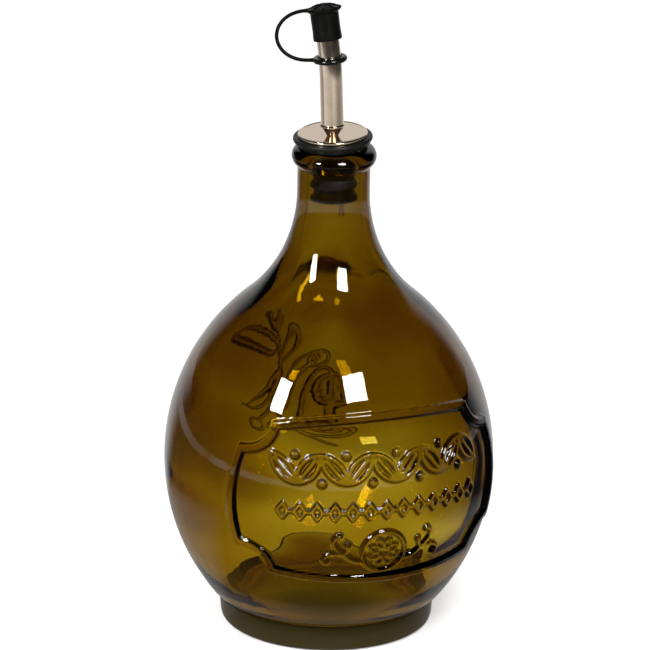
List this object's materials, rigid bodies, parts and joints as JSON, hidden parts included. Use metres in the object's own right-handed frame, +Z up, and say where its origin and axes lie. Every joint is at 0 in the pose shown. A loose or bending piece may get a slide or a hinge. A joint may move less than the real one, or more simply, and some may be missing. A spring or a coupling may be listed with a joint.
{
  "type": "glass oil cruet",
  "caption": "Round-bodied olive-tinted glass bottle with a raised label panel, closed by a rubber stopper with a slim bent metal pourer, a vent tube and a tethered rubber cap.",
  "frame": {"origin": "centre of the ring the foot stands on, on the bottle's axis", "axes": "+Z up along the bottle's axis; -Y out of the middle of the raised label panel"},
  "size_m": [0.1326, 0.1328, 0.2613],
  "materials": {
    "glass": "clear olive-brown, polished",
    "rubber": "smooth black",
    "metal": "polished"
  },
  "bodies": {
    "root": {"glass_bottle": "glass", "rubber_stopper": "rubber", "metal_plate": "metal", "spout": "metal", "vent_tube": "metal", "rubber_cap": "rubber"}
  },
  "joints": []
}
